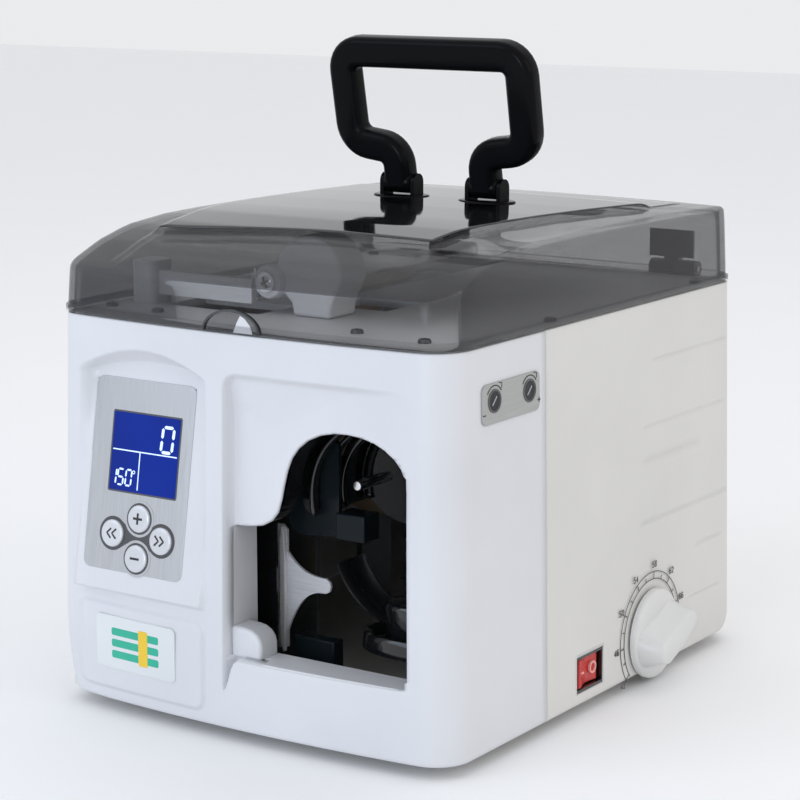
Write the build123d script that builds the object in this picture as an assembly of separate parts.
from build123d import *
import math
import os

# Bench-top machine that binds bundles of banknotes with a heat-sealed paper tape.
# Modelled in casing coordinates: X right, Y back, Z up from the casing's underside,
# with X = 0 near the middle and Y = 0 at the middle of the casing. FRAME then moves every
# node so that the origin is the middle of the footprint on the surface under the feet.

# ---------------------------------------------------------------- driving dimensions, mm
CASE_LEFT = -100.5  # X of the left and right walls at the underside
CASE_RIGHT = 96.0
CASE_D = 242.0  # casing depth at its underside
CASE_H = 160.0  # underside to the lid seam
DRAFT = 3.0  # each wall leans in by this much over CASE_H
FRONT_BOW = 6.0  # the front face bows forward by this much at its middle
LEFT_R = 10.0  # upright front corners
RIGHT_R = 16.0
BACK_R = 11.0  # upright back corners
WALL = 2.5
FOOT_H = 5.0
SEAM_Y = -49.0  # where the front cover meets the main housing
SEAM_GAP = 0.4
SIDE_GROOVES = ((135, 40, 112), (107, 32, 107), (92, 32, 84), (65, 29, 111), (46, 80, 105))
VENT_SLOTS = [10 + 8 * i for i in range(9)]  # left edges in the back wall
FEET_AT = [(x, y) for x in (-66, 66) for y in (-90, 90)]
LID_TOP = 201.0  # crown of the lid at its middle
LID_EDGE = 195.0  # top of the lid along its two sides
LID_SHOULDER = 181.0  # top of the lid's upright front edge
KNOB_R = 19.5
KNOB_PROUD = 20.0  # the position knob stands off the casing by this much
RUN = 0.05  # radial clearance of a running fit
FREE = 0.3  # clearance between moving faces

# note slot
SLOT_LEFT = -12.8  # left edge of the recess in the front face
SLOT_RIGHT = 74.0
RECESS_LOW = 14.0
RECESS_TOP = 143.0
MOUTH_LEFT = 8.0  # the arched mouth behind the recess
MOUTH_LOW = 33.0
MOUTH_TOP = 124.7
MOUTH_R = 33.0
THROAT_Y = -110.0  # back of the funnel plate
LINER_BACK = -34.0

# tape plane and the units around it
TAPE_Y = (-77.0, -57.0)  # the tape is 20 mm wide and loops in this slice
TAPE_GROOVE = (-77.2, -56.8)
FRAME_FRONT = (-88.0, -85.5)
FRAME_REAR = (-49.5, -47.0)
CAM_AT = (-66.0, 50.0)  # X, Z of the cam shaft
CAM_LOW_R = 12.0
CAM_RISE = 8.0
CAM_SWEEP = 170.0
CAM_GAP = 0.6
FEED_AT = (-40.0, 122.0)  # X, Z of the feed roller
FEED_R = 8.0
PINCH_R = 6.0
ARM_PIVOT = (-68.0, 141.0)
MODULE = 1.0
FEED_TEETH = 24
MOTOR_TEETH = 12

# position dial and note stop
DIAL_AT = (38.0, 16.5)  # Y, Z of the dial shaft
DIAL_TEETH = 12
RACK_X = (61.0, 71.0)
STOP_Y = -18.0  # front face of the note stop at the setting shown

# tape tension adjusters on the right side, and the reel
ADJUSTER_Y = (-88.2, -62.4)
REEL_AT = (50.0, 104.0)  # Y, Z of the spindle
REEL_X = (-48.0, -28.0)
ROLL_R = 55.5

# control panel, drawn on a plane that leans back at its top
PANEL_TILT = 9.2
PANEL_ORIGIN = (-54.5, -120.9, 95.8)
PANEL_SIZE = (51.5, 79.0)
LCD_AT = (2.0, 9.6)
LCD_SIZE = (34.5, 32.0)
KEY_R = 5.6
KEYS = {
    "key_plus": (2.0, -16.7),
    "key_minus": (2.0, -33.0),
    "key_left": (-11.2, -24.2),
    "key_right": (14.0, -24.2),
}

# lid and handle
LID_GAP = 0.4
HINGE_AT = (123.0, 162.0)  # Y, Z of the lid hinge
HINGE_X = 60.0
KNUCKLE_R = 4.0
HANDLE_PIVOT = (25.0, 205.2)  # Y, Z
HANDLE_LEAN = 11.0
HANDLE_LEG = 22.0  # each leg and each end of the grip, from the middle of the casing
HANDLE_REACH = 46.0
HANDLE_SHOULDER = 15.5  # above the pivot
HANDLE_GRIP = 59.0
HANDLE_BAR = 11.0
HANDLE_THICK = 7.6
HANDLE_BEND_R = 7.5

MIDDLE = (CASE_LEFT + CASE_RIGHT) / 2
LEGS_X = (MIDDLE - HANDLE_LEG, MIDDLE + HANDLE_LEG)
FRAME = Location((-(CASE_LEFT + CASE_RIGHT + KNOB_PROUD) / 2, 0, FOOT_H))
TILT = math.radians(PANEL_TILT)
PANEL = Plane(PANEL_ORIGIN, (1, 0, 0), (0, -math.cos(TILT), math.sin(TILT)))
LEAN = math.atan2(DRAFT, CASE_H)
# the right wall's outside, drawn as (distance back, height along the wall, distance out)
SIDE = Plane((CASE_RIGHT, 0, 0), x_dir=(0, 1, 0), z_dir=(math.cos(LEAN), 0, math.sin(LEAN)))


# ---------------------------------------------------------------- helpers
def block(x, y, z):
    """A box from three (low, high) spans."""
    spans = (x, y, z)
    size = [high - low for low, high in spans]
    middle = [(low + high) / 2 for low, high in spans]
    return Pos(*middle) * Box(*size)


def rod(axis, centre, radius, span):
    """A round bar along one axis; centre holds its other two coordinates."""
    turn = {"x": Rot(0, 90, 0), "y": Rot(90, 0, 0), "z": Rot(0, 0, 0)}[axis]
    place = list(centre)
    place.insert("xyz".index(axis), sum(span) / 2)
    return Pos(*place) * turn * Cylinder(radius, span[1] - span[0])


def tube(axis, centre, outer, inner, span):
    return rod(axis, centre, outer, span) - rod(axis, centre, inner, (span[0] - 1, span[1] + 1))


def plan(inset, lean):
    """The casing's outline seen from above."""
    left = CASE_LEFT + inset + lean
    right = CASE_RIGHT - inset - lean
    front = -CASE_D / 2 + inset + lean
    back = CASE_D / 2 - inset - lean
    bow = ThreePointArc((left, front), (MIDDLE, front - FRONT_BOW), (right, front))
    sides = Polyline((right, front), (right, back), (left, back), (left, front))
    outline = make_face(bow + sides)
    for place, radius in (((left, front), LEFT_R), ((right, front), RIGHT_R)):
        outline = fillet(outline.vertices().sort_by_distance((*place, 0))[0], radius - inset)
    return fillet(outline.vertices().group_by(Axis.Y)[-1], BACK_R - inset)


def casing(inset, low, high):
    """A solid that follows the casing's leaning walls, inset from their outside."""
    rate = DRAFT / CASE_H
    return loft([Pos(0, 0, z) * plan(inset, rate * z) for z in (low, high)], ruled=True)


def arch_outline(left, right, low, top, radius):
    """The note slot's outline in the X-Z plane: square below, round above."""
    flat = Pos((left + right) / 2, (low + top) / 2) * Rectangle(right - left, top - low)
    return fillet(flat.vertices().group_by(Axis.Y)[-1], radius)


def arch(left, right, low, top, radius, y):
    """That outline as a solid over a span of Y."""
    turned = Plane.XZ * arch_outline(left, right, low, top, radius)
    return Pos(0, y[1], 0) * extrude(turned, y[1] - y[0])


def gear(teeth, width):
    """A spur gear about Z with slim straight-sided teeth, one of them on +X."""
    pitch = MODULE * teeth / 2
    step = 2 * math.pi / teeth
    points = []
    for i in range(teeth):
        for radius, share in ((-1.25, -0.30), (1.0, -0.12), (1.0, 0.12), (-1.25, 0.30)):
            angle = (i + share) * step
            reach = pitch + radius * MODULE
            points.append((reach * math.cos(angle), reach * math.sin(angle)))
    return extrude(make_face(Polyline(*points, close=True)), width)


def save(name, *shapes):
    solids = [solid for shape in shapes for solid in (FRAME * shape).solids()]
    export_step(Compound(solids), f"parts/{name}.step")


# ---------------------------------------------------------------- casing
def base_plate():
    plate = casing(WALL + 0.4, 1, 4)
    for spot in FEET_AT:
        plate -= rod("z", spot, 2.2, (0, 5))
    return plate


def rubber_feet():
    feet = []
    for spot in FEET_AT:
        foot = Pos(*spot, -2) * Cone(7.2, 9, 6)
        feet.append(foot - rod("z", spot, 4, (-6, -2)) - rod("z", spot, 2.2, (-6, 2)))
    return feet


def feet_screws():
    screws = []
    for x, y in FEET_AT:
        head = rod("z", (x, y), 3.6, (-3.9, -2))
        shank = rod("z", (x, y), 2.15, (-2, 4))
        slot = block((x - 3, x + 3), (y - 0.5, y + 0.5), (-5, -3.2))
        screws.append(head + shank - slot)
    return screws


def control_pocket():
    """The leaning floor behind the membrane panel, with the walls round it."""
    walls = block((-86, -22), (-128, -104), (50, 148)) & casing(0, 0, CASE_H)
    floor = PANEL * (Pos(0, 2.5, -4.3) * Box(59, 87, 6))
    hollow = PANEL * (Pos(0, 2.5, -24.3) * Box(57, 85, 40))
    open_front = PANEL * (Pos(0, 2.5, 18.7) * Box(57, 87, 40))
    openings = PANEL * (Pos(*LCD_AT, -4) * Box(LCD_SIZE[0] + 1, LCD_SIZE[1] + 1, 12))
    for u, v in KEYS.values():
        openings += PANEL * (Pos(u, v, -4) * Cylinder(KEY_R + 0.4, 12))
    return walls + floor - hollow - open_front - openings


def slot_funnel():
    """The recess in the front face, with a plate at its back that the mouth is cut in."""
    wide = (SLOT_LEFT - WALL, SLOT_RIGHT + WALL)
    tall = (RECESS_LOW - WALL, RECESS_TOP + WALL)
    shell = block(wide, (-128, THROAT_Y), tall) & casing(0, 0, CASE_H)
    cavity = block((SLOT_LEFT, SLOT_RIGHT), (-140, THROAT_Y - WALL), (RECESS_LOW, RECESS_TOP))
    through = (-120, -100)
    mouth = arch(MOUTH_LEFT, SLOT_RIGHT, MOUTH_LOW, MOUTH_TOP, MOUTH_R - 1, through)
    side_gap = block((SLOT_LEFT + 2, MOUTH_LEFT + 5), through, (45, 83))
    slope = Polyline((-126, 14), (-126, 24), (-123, 27), (-112, MOUTH_LOW), (-112, 14), close=True)
    apron = extrude(Plane.YZ * make_face(slope), SLOT_RIGHT - SLOT_LEFT - 5)
    apron = Pos(SLOT_LEFT + 5, 0, 0) * apron
    return shell - cavity - mouth - side_gap + (apron & casing(1.0, 0, CASE_H))


def front_cover():
    keep = block((-105, 100), (-140, SEAM_Y - SEAM_GAP / 2), (-1, 170))
    walls = casing(0, 0, CASE_H) - casing(WALL, -1, CASE_H + 1)
    walls -= block((-83.5, -25.5), (-140, -112), (55, 142))
    walls -= block((SLOT_LEFT, SLOT_RIGHT), (-140, -112), (RECESS_LOW, RECESS_TOP))
    cover = walls + control_pocket() + slot_funnel()
    pad = block((-84, -21.5), (-126.3, -118), (4, 49)) - casing(0.5, -1, CASE_H)
    boss = SIDE * (Pos(-75.8, 138.3, -6) * Box(38, 12, 9))
    cover = (cover + pad + (boss & casing(1, 0, CASE_H))) & keep
    for back in ADJUSTER_Y:
        cover -= SIDE * (Pos(back, 138.3, -7) * Cylinder(3.4 + RUN, 20))
    return cover


def main_housing():
    keep = block((-105, 100), (SEAM_Y + SEAM_GAP / 2, 140), (-1, 170))
    shell = (casing(0, 0, CASE_H) - casing(WALL, -1, CASE_H + 1)) & keep
    shell -= block((90, 100), (-24.9, -2.6), (4.8, 20.7))
    shell -= rod("x", DIAL_AT, 4.5, (90, 100))
    shell -= block((-76, -48), (110, 130), (19, 41))
    for left in VENT_SLOTS:
        shell -= block((left, left + 3), (110, 130), (60, 110))
    for height, start, end in SIDE_GROOVES:
        shell -= SIDE * (Pos((start + end) / 2, height, 0) * Box(end - start, 1.2, 1.2))
    return shell


def upper_deck():
    deck = casing(WALL + 0.3, 157, 160)
    deck -= block((-53, -23), (-12, 112), (150, 170))
    deck -= block((-72, -24), (-80, -54), (150, 170))
    deck -= block((-15, 15), (-45, -20), (150, 170))
    return deck


# ---------------------------------------------------------------- control panel
def control_panel():
    outline = fillet(Rectangle(*PANEL_SIZE).vertices(), 3.5)
    plate = Pos(0, 0, -1.2) * extrude(outline, 1.2)
    plate -= Pos(*LCD_AT, 0) * Box(*LCD_SIZE, 5)
    for u, v in KEYS.values():
        plate -= Pos(u, v, 0) * Cylinder(KEY_R + 0.4, 5)
    return PANEL * plate


def lcd_window():
    return PANEL * (Pos(*LCD_AT, -0.6) * Box(LCD_SIZE[0] - 0.3, LCD_SIZE[1] - 0.3, 1.0))


def display_board():
    """The display module, and the circuit board behind it with its larger parts."""
    front = Pos(*LCD_AT, -4.45) * Box(LCD_SIZE[0] - 0.5, LCD_SIZE[1] - 0.5, 6.5)
    back = Pos(*LCD_AT, -10.7) * Box(LCD_SIZE[0] + 5, LCD_SIZE[1] + 3, 6)
    board = block((-84, -28), (-101, -99.4), (52, 140))
    for x, z, size in ((-70, 120, 9), (-50, 70, 12), (-40, 105, 7)):
        board += block((x - size / 2, x + size / 2), (-99.5, -96.5), (z - size / 2, z + size / 2))
    return [PANEL * (front + back), board]


def key(u, v):
    cap = Pos(u, v, -2.5) * Cylinder(KEY_R, 7.6)
    cap = fillet(cap.edges().group_by(Axis.Z)[-1], 0.8)
    flange = Pos(u, v, -8.55) * Cylinder(7.0, 1.9)
    stem = Pos(u, v, -7) * Cylinder(KEY_R, 4)
    return PANEL * (cap + stem + flange)


def name_plate():
    plate = extrude(fillet(Rectangle(42.5, 23.5).vertices(), 2), 0.5)
    return Pos(-56.2, -126.35, 24.2) * Rot(90, 0, 0) * plate


# ---------------------------------------------------------------- note slot
def slot_liner():
    outside = arch(-12, 78, 20, 130, MOUTH_R + 3, (THROAT_Y + 0.2, LINER_BACK))
    inside = arch(-10, 76, 22, 128, MOUTH_R + 1, (THROAT_Y - 1, LINER_BACK + 1))
    tape_gap = block((-13, -9), (-84, -50), (22.1, 96))
    note_gap = block((-13, -9), (-112, -100), (42, 86))
    return outside - inside - tape_gap - note_gap


def upper_tape_guide():
    """An arched guide with a groove that the tape runs in."""
    ring = arch(MOUTH_LEFT, 75.7, 60, 127.7, MOUTH_R + 0.7, (-79, -55))
    ring -= arch(MOUTH_LEFT + 5, 70.7, 50, 122.7, MOUTH_R - 4.3, (-80, -54))
    groove = arch(MOUTH_LEFT + 3, 72.7, 50, 124.7, MOUTH_R - 2.3, TAPE_GROOVE)
    return ring - groove


def lower_tape_guide():
    tray = block((14, 75.7), (-79, -55), (22.3, 59.7)) - rod("y", (42, 82), 47, (-80, -54))
    return tray - tube("y", (42, 82), 49, 46, TAPE_GROOVE)


def tape_tongue():
    """The steel anvil plate whose tongue reaches between the turns of the tape."""
    outline = make_face(
        Polyline((-16.5, 22.4), (-9, 22.4))
        + TangentArc((-9, 22.4), (9.5, 49.5), tangent=(0, 1))
        + TangentArc((9.5, 49.5), (9.5, 54.5), tangent=(1, 0.2))
        + Polyline((9.5, 54.5), (-9, 75), (-16.5, 75), (-16.5, 22.4))
    )
    return Pos(0, -79.5, 0) * extrude(Plane.XZ * outline, 1.2)


# ---------------------------------------------------------------- tape feed and sealing unit
def frame_plate(span):
    plate = block((-88, -18), span, (4, 150))
    plate -= rod("y", CAM_AT, 3 + RUN, (span[0] - 1, span[1] + 1))
    return plate - rod("y", FEED_AT, 3 + RUN, (span[0] - 1, span[1] + 1))


def front_frame():
    """The front frame plate, with the fixed pin that the pinch arm turns on."""
    return frame_plate(FRAME_FRONT) + rod("y", ARM_PIVOT, 2, (-88, -77))


def rear_frame():
    return frame_plate(FRAME_REAR) - rod("y", (FEED_AT[0] - 18, FEED_AT[1]), 4, (-52, -40))


def feed_shaft():
    shaft = rod("y", FEED_AT, 3, (-90, -45))
    wheel = Pos(FEED_AT[0], -50.5, FEED_AT[1]) * Rot(90, 0, 0) * gear(FEED_TEETH, 4.5)
    return shaft + wheel


def feed_tyre():
    return tube("y", FEED_AT, FEED_R, 3, TAPE_Y)


def feed_motor():
    centre = (FEED_AT[0] - 18, FEED_AT[1])
    return rod("y", centre, 13, (FRAME_REAR[1] + 0.05, -20)) + rod("y", centre, 5, (-20, -18))


def motor_pinion():
    centre = (FEED_AT[0] - 18, FEED_AT[1])
    wheel = Rot(0, 0, 180 / MOTOR_TEETH) * gear(MOTOR_TEETH, 5)
    wheel = Pos(centre[0], -50.3, centre[1]) * Rot(90, 0, 0) * wheel
    return wheel + rod("y", centre, 1.5, (-56, -47.2))


def pinch_place():
    return (FEED_AT[0], FEED_AT[1] + FEED_R + PINCH_R + FREE)


def pinch_roller():
    return tube("y", pinch_place(), PINCH_R, 2 + RUN, TAPE_Y)


def pinch_arm():
    x, z = pinch_place()
    pivot_x, pivot_z = ARM_PIVOT
    length = math.hypot(x - pivot_x, z - pivot_z)
    angle = math.degrees(math.atan2(z - pivot_z, x - pivot_x))
    bar = Box(length, 2.6, 7)
    bar = Pos((x + pivot_x) / 2, -80, (z + pivot_z) / 2) * Rot(0, -angle, 0) * bar
    arm = bar + rod("y", ARM_PIVOT, 6, (-81.3, -78.7)) + rod("y", (x, z), 5, (-81.3, -78.7))
    return arm + rod("y", (x, z), 2, (-80, -56)) - rod("y", ARM_PIVOT, 2 + RUN, (-90, -70))


def spiral_cam():
    """A cam that lifts its follower evenly over its sweep, on its shaft."""
    steps = 17
    points = []
    for i in range(2 * steps):
        share = i / steps
        if share <= 1:
            angle, lift = CAM_SWEEP * share, share
        else:
            angle, lift = CAM_SWEEP + (360 - CAM_SWEEP) * (share - 1), 2 - share
        turn = math.radians(-angle)
        radius = CAM_LOW_R + CAM_RISE * lift
        points.append((radius * math.cos(turn), radius * math.sin(turn)))
    disc = extrude(make_face(Polyline(*points, close=True)), 8)
    return Pos(CAM_AT[0], -63, CAM_AT[1]) * Rot(90, 0, 0) * disc + rod("y", CAM_AT, 3, (-90, -46.5))


def cam_motor():
    return rod("y", CAM_AT, 15.5, (-46, -16)) + rod("y", CAM_AT, 6, (-16, -13))


def press_bed():
    wide = (-45, -19)
    bed = block(wide, (-85.4, -49.6), (36, 39.9))
    return bed + block(wide, (-85.4, -82), (39, 44)) + block(wide, (-53, -49.6), (39, 44))


def press_carriage():
    back = CAM_AT[0] + CAM_LOW_R + CAM_GAP
    return block((back, -36), (-81.5, -53.5), (40.2, 62))


def heater_block():
    block_z = (43, 56)
    heater = block((-36, -27), (-76, -58), block_z)
    return heater - rod("y", (-31.5, 49.5), 2.5, (-80, -50))


def cutter_blade():
    side = make_face(Polyline((-40, 57.5), (-25, 57.5), (-28, 58.7), (-40, 58.7), close=True))
    return Pos(0, -57.5, 0) * extrude(Plane.XZ * side, 19) - block((-41, -36), (-80, -50), (50, 70))


# ---------------------------------------------------------------- position dial and note stop
def rack_teeth():
    """Teeth that hang below the rack, with a gap over the dial shaft."""
    pitch_line = DIAL_AT[1] + MODULE * DIAL_TEETH / 2
    step = math.pi * MODULE
    teeth = []
    for i in range(-6, 4):
        middle = DIAL_AT[0] + (i + 0.5) * step
        outline = Polyline(
            (middle - 0.95, pitch_line + 1.3),
            (middle - 0.35, pitch_line - 0.9),
            (middle + 0.35, pitch_line - 0.9),
            (middle + 0.95, pitch_line + 1.3),
            close=True,
        )
        tooth = extrude(Plane.YZ * make_face(outline), RACK_X[1] - RACK_X[0])
        teeth.append(Pos(RACK_X[0], 0, 0) * tooth)
    return teeth


def note_stop():
    plate = block((12, 74), (STOP_Y, STOP_Y + 3), (20, 108))
    arm = block(RACK_X, (STOP_Y + 3, 54), (DIAL_AT[1] + 7.2, 29))
    boss = block((18, 34), (STOP_Y, STOP_Y + 16), (20, 32))
    stop = plate + arm + boss
    for tooth in rack_teeth():
        stop += tooth
    return stop - rod("y", (26, 26), 3 + RUN, (-40, 20))


def stop_rail():
    rail = rod("y", (26, 26), 3, (-30, 40))
    return rail + block((18, 34), (37, 41), (4.05, 32)) + block((18, 34), (-32, -28), (4.05, 32))


def dial_shaft():
    pinion = Pos(62, *DIAL_AT) * Rot(0, 90, 0) * gear(DIAL_TEETH, 8)
    return rod("x", DIAL_AT, 3, (52, 97.5)) + pinion


def dial_bracket():
    shape = block((54, 57), (28, 48), (4.05, 22.5)) + block((75, 78), (28, 48), (4.05, 24))
    shape += block((54, 78), (28, 48), (4.05, 7))
    return shape - rod("x", DIAL_AT, 3 + RUN, (50, 80))


def dial_knob():
    """A skirted knob with a broad finger bar across it."""
    face = CASE_RIGHT + 0.6
    skirt = rod("x", DIAL_AT, KNOB_R, (face, face + 5.4))
    skirt = fillet(skirt.edges().group_by(Axis.X)[-1], 1.2)
    dome = rod("x", DIAL_AT, KNOB_R - 2.5, (face + 4, face + 14))
    grip = rod("x", DIAL_AT, KNOB_R - 2, (face + 4, CASE_RIGHT + KNOB_PROUD))
    bar = grip & (Pos(0, *DIAL_AT) * Rot(10, 0, 0) * block((face, 120), (-25, 25), (-6.5, 6.5)))
    hub = dome & (Pos(0, *DIAL_AT) * Rot(10, 0, 0) * block((face, face + 8), (-25, 25), (-11, 11)))
    shape = skirt + hub + bar
    return shape - rod("x", DIAL_AT, 3, (90, 97.5))


# ---------------------------------------------------------------- side fittings
def adjuster_plate():
    outline = fillet(Rectangle(42.3, 15.7).vertices(), 3)
    plate = Pos(-75.8, 137.4, 0.05) * extrude(outline, 0.6)
    for back in ADJUSTER_Y:
        plate -= Pos(back, 138.3, 0) * Cylinder(3.9, 5)
    return SIDE * plate


def tension_screw(back):
    body = Pos(back, 138.3, -7.5) * Cylinder(3.4, 13)
    return SIDE * (body - Pos(back, 138.3, -1) * Box(5, 0.9, 2.4))


def switch_frame():
    frame = block((78, 95.3), (-24.7, -2.8), (5.0, 20.5))
    return frame - block((84, 100), (-23.9, -3.6), (6.2, 19.3))


def power_rocker():
    corners = ((88, -22.6), (93.4, -22.9), (92.2, -13.75), (93.4, -4.6), (88, -4.9))
    side = make_face(Polyline(*corners, close=True))
    paddle = Pos(0, 0, 6.6) * extrude(side, 12.3)
    pivot = Pos(89.5, -13.75, 0)
    return pivot * Rot(0, 0, 8) * (Pos(-89.5, 13.75, 0) * paddle)


def mains_inlet():
    body = block((-75, -49), (104, 121), (20, 40)) + block((-78.5, -45.5), (121, 123), (17.5, 42.5))
    socket = body - block((-73, -51), (107, 125), (22.5, 37.5))
    for x, z in ((-68, 28), (-62, 32), (-56, 28)):
        socket += block((x - 1, x + 1), (105, 115), (z - 2, z + 2))
    return socket


# ---------------------------------------------------------------- reel and supply
def reel_brackets():
    plates = []
    for x in ((-58, -55), (-21, -18)):
        plate = block(x, (38, 62), (4.05, REEL_AT[1] + 4))
        through = (x[0] - 1, x[1] + 1)
        slot = block(through, (REEL_AT[0] - 4.05, REEL_AT[0] + 4.05), (REEL_AT[1], 120))
        plates.append(plate - slot - rod("x", REEL_AT, 4.05, through))
    return plates


def reel_spindle():
    return rod("x", REEL_AT, 4, (-62, -14))


def reel_spool():
    """A bobbin: a core between two flanges."""
    spool = tube("x", REEL_AT, 20, 4 + RUN, (-48.2, -27.8))
    for x in (-49.8, -27.9):
        spool += tube("x", REEL_AT, 58, 4 + RUN, (x, x + 1.7))
    return spool


def paper_roll():
    return tube("x", REEL_AT, ROLL_R, 20.02, REEL_X)


def paper_tape():
    """The length of tape that runs forward from the roll over the deck."""
    return block((-47.5, -28.5), (-20, 50), (160.6, 160.9))


def transformer():
    core = block((24, 80), (76, 112), (4.05, 50)) - block((34, 70), (70, 120), (14, 40))
    return [core, block((34.3, 69.7), (73, 115), (14.3, 39.7))]


# ---------------------------------------------------------------- under the lid
def guide_rail():
    post = fillet(block((-88, -76), (-84, -70), (160.1, 178)).edges().filter_by(Axis.Z), 3)
    return post + block((-78, -27.5), (-80, -76.5), (164, 174))


def bridge_guide():
    """The arched guide that turns the tape down into the slot."""
    hump = rod("y", (0, 175), 19.5, (-76, -57)) & block((-30, 30), (-80, -50), (170, 200))
    leg = block((-13, 3), (-76, -57), (160.1, 176))
    boss = rod("y", (-20, 173.5), 7, (-79, -62))
    return hump + leg + boss - rod("y", (-20, 173.5), 2, (-80, -70))


def pivot_screw():
    head = rod("y", (-20, 173.5), 4.2, (-80.6, -79.05))
    shank = rod("y", (-20, 173.5), 1.95, (-79.1, -70))
    cross = block((-22.8, -17.2), (-81, -80), (173, 174))
    cross += block((-20.5, -19.5), (-81, -80), (170.7, 176.3))
    return head + shank - cross


def turn_bar():
    """The slanting bar that turns the tape from the deck towards the slot."""
    bar = Pos(-38, -36, 170) * Rot(0, 0, 45) * rod("x", (0, 0), 3.5, (-17, 17))
    posts = rod("z", (-49, -47), 3, (160.1, 170)) + rod("z", (-27, -25), 3, (160.1, 170))
    return bar + posts


# ---------------------------------------------------------------- lid
def lid_block(inset):
    """The lid's outer shape, or its inside when inset by the wall."""
    walls = Pos(0, 0, CASE_H - 1 if inset else CASE_H + LID_GAP) * extrude(plan(inset, 2.5), 60)
    drop = inset
    front = -124.6 + inset
    spine = Spline(
        (front, LID_SHOULDER - drop),
        (-104, 189.5 - drop),
        (-79, 198.3 - drop),
        (-40, LID_TOP - drop),
        (30, LID_TOP - 0.8 - drop),
        (104, 196.5 - drop),
        (119, 190 - drop),
    )
    rest = Polyline((119, 190 - drop), (119, 150), (front, 150), (front, LID_SHOULDER - drop))
    side = Pos(-105, 0, 0) * extrude(Plane.YZ * make_face(spine + rest), 210)
    edge = LID_EDGE - drop
    left, right = CASE_LEFT + 1, CASE_RIGHT - 1
    crown = ThreePointArc((left, edge), (MIDDLE, LID_TOP - drop), (right, edge))
    below = Polyline((right, edge), (right, 150), (left, 150), (left, edge))
    top = Pos(0, 130, 0) * extrude(Plane.XZ * make_face(crown + below), 260)
    return walls & side & top


def lid():
    shell = lid_block(0) - lid_block(WALL)
    notch = rod("y", (-4, 152.7), 14.9, (-130, -116))
    for x in LEGS_X:
        shell -= seat_plate(x, 0.1)
    return shell - notch


def hinge_knuckles(x, leaf_z, spans):
    """One leaf with its knuckles; spans are measured from the hinge's middle."""
    y, z = HINGE_AT
    leaf_y = (118.8, 120.4)
    leaf = block((x - 11, x + 11), leaf_y, leaf_z)
    near = (z - 5.5, z) if leaf_z[0] < z - 6 else (z, z + 5.5)
    shape = leaf
    for low, high in spans:
        shape += rod("x", HINGE_AT, KNUCKLE_R, (x + low, x + high))
        shape += block((x + low, x + high), (leaf_y[0] + 0.4, y), near)
    for low, high in ((-11.5, -4), (-3.8, 3.8), (4, 11.5)):
        if (low, high) not in spans:
            shape -= rod("x", HINGE_AT, KNUCKLE_R + FREE, (x + low, x + high))
    return shape - rod("x", HINGE_AT, 1.5 + RUN, (x - 20, x + 20))


def hinge_brackets():
    return [hinge_knuckles(x, (142, 156.5), ((-11.5, -4), (4, 11.5))) for x in (-HINGE_X, HINGE_X)]


def lid_hinges():
    return [hinge_knuckles(x, (167.5, 180), ((-3.8, 3.8),)) for x in (-HINGE_X, HINGE_X)]


def hinge_pins():
    return [rod("x", HINGE_AT, 1.5, (x - 12, x + 12)) for x in (-HINGE_X, HINGE_X)]


def seat_plate(x, grow):
    """The oval foot under one leg of the handle."""
    y, z = HANDLE_PIVOT
    return Pos(x, y, z - 6.2) * scale(Cylinder(12 + grow, 4), (1.35, 0.75, 1))


def handle_seats():
    seats = []
    y, z = HANDLE_PIVOT
    for x in LEGS_X:
        plate = seat_plate(x, 0)
        for side in (-1, 1):
            middle = x + side * (HANDLE_BAR / 2 + FREE + 1.5)
            ear = block((middle - 1.5, middle + 1.5), (y - 4, y + 4), (z - 5, z))
            plate += ear + rod("x", (y, z), 4, (middle - 1.5, middle + 1.5))
        seats.append(plate - rod("x", (y, z), 1.8 + RUN, (x - 20, x + 20)))
    return seats


def handle_pins():
    return [rod("x", HANDLE_PIVOT, 1.8, (x - 8.6, x + 8.6)) for x in LEGS_X]


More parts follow.
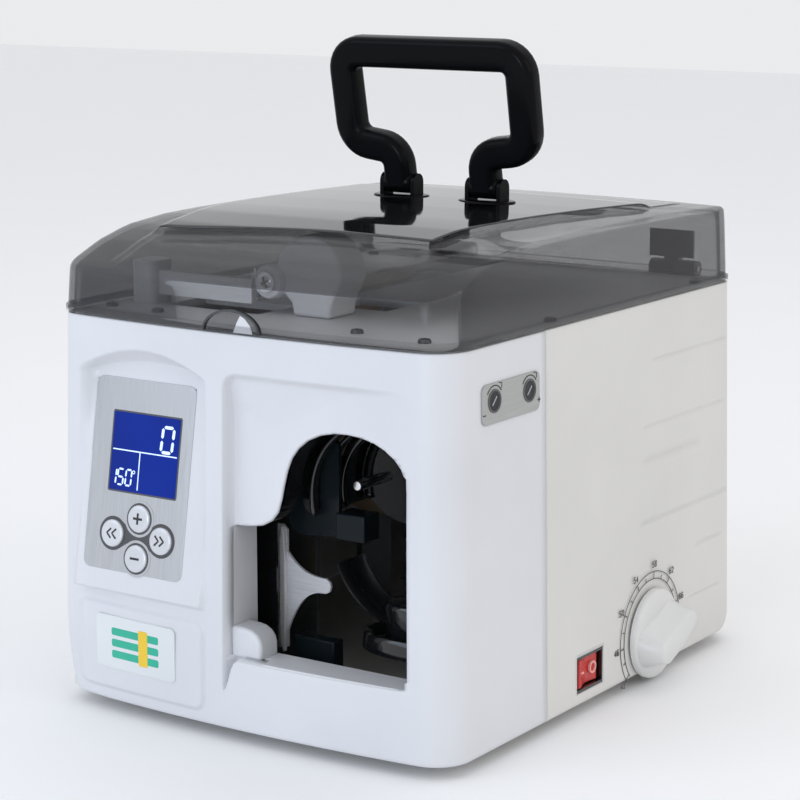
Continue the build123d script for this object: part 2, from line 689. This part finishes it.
def handle():
    leg, grip = HANDLE_LEG, HANDLE_REACH
    path = FilletPolyline(
        (leg, 0),
        (leg, HANDLE_SHOULDER),
        (grip, HANDLE_SHOULDER),
        (grip, HANDLE_GRIP),
        (-grip, HANDLE_GRIP),
        (-grip, HANDLE_SHOULDER),
        (-leg, HANDLE_SHOULDER),
        (-leg, 0),
        radius=HANDLE_BEND_R,
    )
    bar = Pos(0, HANDLE_THICK / 2, 0) * extrude(Plane.XZ * trace(path, HANDLE_BAR), HANDLE_THICK)
    for x in (-leg, leg):
        bar += rod("x", (0, 0), HANDLE_THICK / 2, (x - HANDLE_BAR / 2, x + HANDLE_BAR / 2))
    bar -= rod("x", (0, 0), 1.8 + RUN, (-40, 40))
    y, z = HANDLE_PIVOT
    return Pos(MIDDLE, y, z) * Rot(HANDLE_LEAN, 0, 0) * bar


NODES = {
    "base_plate": base_plate,
    "rubber_feet": rubber_feet,
    "feet_screws": feet_screws,
    "front_cover": front_cover,
    "main_housing": main_housing,
    "upper_deck": upper_deck,
    "control_panel": control_panel,
    "lcd_window": lcd_window,
    "display_board": display_board,
    "name_plate": name_plate,
    "slot_liner": slot_liner,
    "upper_tape_guide": upper_tape_guide,
    "lower_tape_guide": lower_tape_guide,
    "tape_tongue": tape_tongue,
    "front_frame": front_frame,
    "rear_frame": rear_frame,
    "feed_shaft": feed_shaft,
    "feed_tyre": feed_tyre,
    "feed_motor": feed_motor,
    "motor_pinion": motor_pinion,
    "pinch_roller": pinch_roller,
    "pinch_arm": pinch_arm,
    "spiral_cam": spiral_cam,
    "cam_motor": cam_motor,
    "press_bed": press_bed,
    "press_carriage": press_carriage,
    "heater_block": heater_block,
    "cutter_blade": cutter_blade,
    "note_stop": note_stop,
    "stop_rail": stop_rail,
    "dial_shaft": dial_shaft,
    "dial_bracket": dial_bracket,
    "dial_knob": dial_knob,
    "adjuster_plate": adjuster_plate,
    "switch_frame": switch_frame,
    "power_rocker": power_rocker,
    "mains_inlet": mains_inlet,
    "reel_brackets": reel_brackets,
    "reel_spindle": reel_spindle,
    "paper_roll": paper_roll,
    "reel_spool": reel_spool,
    "paper_tape": paper_tape,
    "transformer": transformer,
    "guide_rail": guide_rail,
    "bridge_guide": bridge_guide,
    "pivot_screw": pivot_screw,
    "turn_bar": turn_bar,
    "lid": lid,
    "hinge_brackets": hinge_brackets,
    "lid_hinges": lid_hinges,
    "hinge_pins": hinge_pins,
    "handle_seats": handle_seats,
    "handle_pins": handle_pins,
    "handle": handle,
}

os.makedirs("parts", exist_ok=True)
for name, make in NODES.items():
    made = make()
    save(name, *(made if isinstance(made, list) else [made]))
for name, place in KEYS.items():
    save(name, key(*place))
for name, back in zip(("tension_screw_front", "tension_screw_rear"), ADJUSTER_Y):
    save(name, tension_screw(back))
